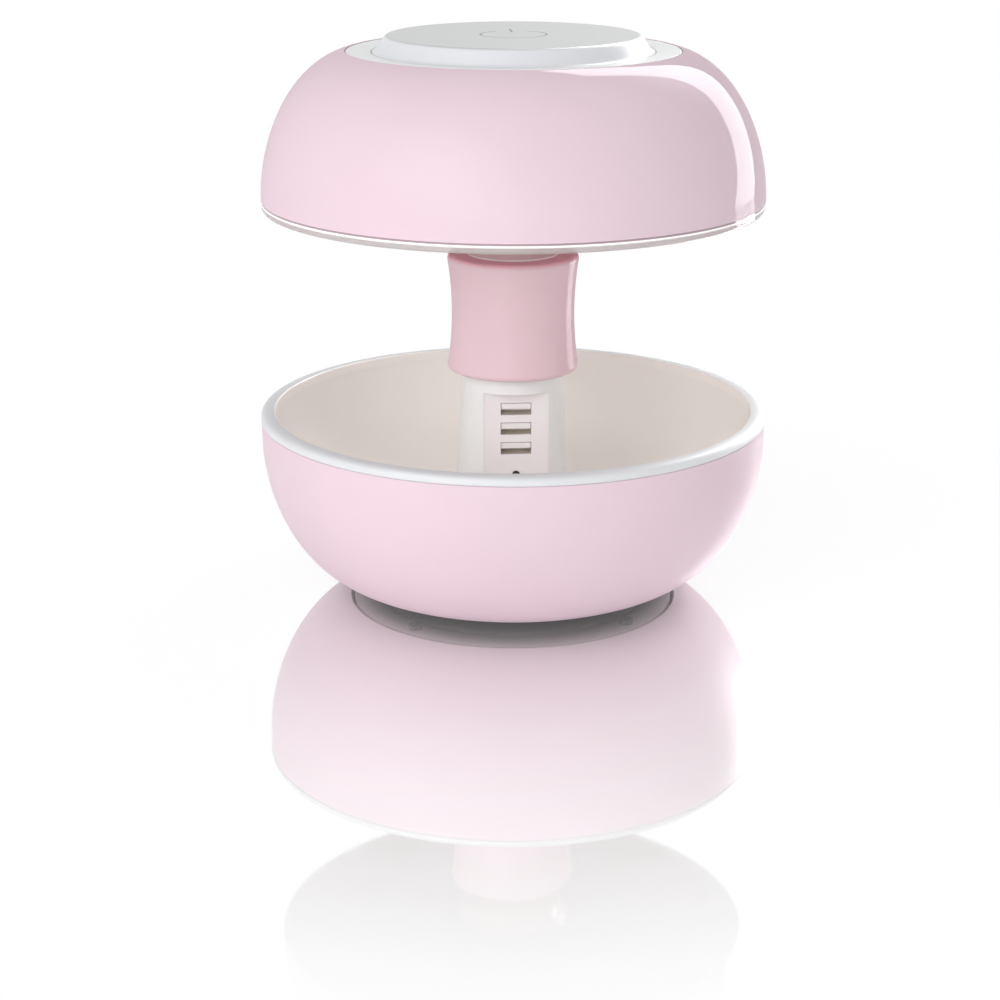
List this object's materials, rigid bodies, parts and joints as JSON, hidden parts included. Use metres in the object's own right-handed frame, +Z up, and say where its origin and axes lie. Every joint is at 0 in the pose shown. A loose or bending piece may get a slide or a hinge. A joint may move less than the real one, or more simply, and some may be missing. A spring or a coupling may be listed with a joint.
{
  "type": "table lamp",
  "caption": "Mushroom-shaped table lamp with a dome shade, a press-button cap, a bowl tray base and USB charging sockets on its column.",
  "frame": {"origin": "on the floor under the lamp's axis, in the plane of its foot ring", "axes": "+Z up along the lamp's axis, -Y the way the charging sockets face"},
  "size_m": [0.2063, 0.2062, 0.2257],
  "materials": {
    "shade_pink": "gloss",
    "sleeve_pink": "gloss",
    "bowl_pink": "satin",
    "pearl_white": "pearl",
    "button_white": "pearl",
    "liner_white": "satin",
    "column_white": "satin",
    "panel_white": "satin",
    "base_white": "satin",
    "foot_rubber": "matte",
    "clear_lens": "clear",
    "indicator_smoke": "gloss",
    "socket_steel": "bright",
    "tongue_white": "moulded",
    "contact_brass": "gold plated",
    "circuit_board": "solder mask",
    "part_black": "moulded",
    "plain_steel": "zinc plated",
    "plate_aluminium": "mill",
    "led_white": "solder mask",
    "chip_yellow": "phosphor",
    "wire_grey": "insulation"
  },
  "bodies": {
    "lamp": {"shade_shell": "shade_pink", "sleeve": "sleeve_pink", "bowl_shell": "bowl_pink", "rim_ring": "pearl_white", "top_ring": "pearl_white", "bowl_liner": "liner_white", "column_shell": "column_white", "usb_panel": "panel_white", "base_plate": "base_white", "foot_ring": "foot_rubber", "cord_grommet": "foot_rubber", "lens_dish": "clear_lens", "indicator_lens": "indicator_smoke", "usb_shells": "socket_steel", "usb_tongues": "tongue_white", "usb_contacts": "contact_brass", "usb_board": "circuit_board", "power_board": "circuit_board", "board_parts": "part_black", "power_parts": "part_black", "switch_body": "part_black", "ballast_plate": "plain_steel", "stem_tube": "plain_steel", "stem_washers": "plain_steel", "stem_nuts": "plain_steel", "base_screws": "plain_steel", "ring_screws": "plain_steel", "plate_screws": "plain_steel", "board_screws": "plain_steel", "power_screws": "plain_steel", "button_spring": "plain_steel", "head_plate": "plate_aluminium", "led_board": "led_white", "led_chips": "chip_yellow", "indicator_led": "chip_yellow", "switch_tray": "base_white", "lamp_leads": "wire_grey", "usb_leads": "wire_grey"},
    "button": {"top_button": "button_white", "switch_plunger": "tongue_white"}
  },
  "joints": [
    {"name": "button_press", "type": "slide", "parent": "lamp", "child": "button", "axis": [0, 0, -1], "range_m": [0, 0.002], "stiffness_N_per_m": 1500, "springref_m": -0.0015, "deforming": ["button_spring"]}
  ]
}
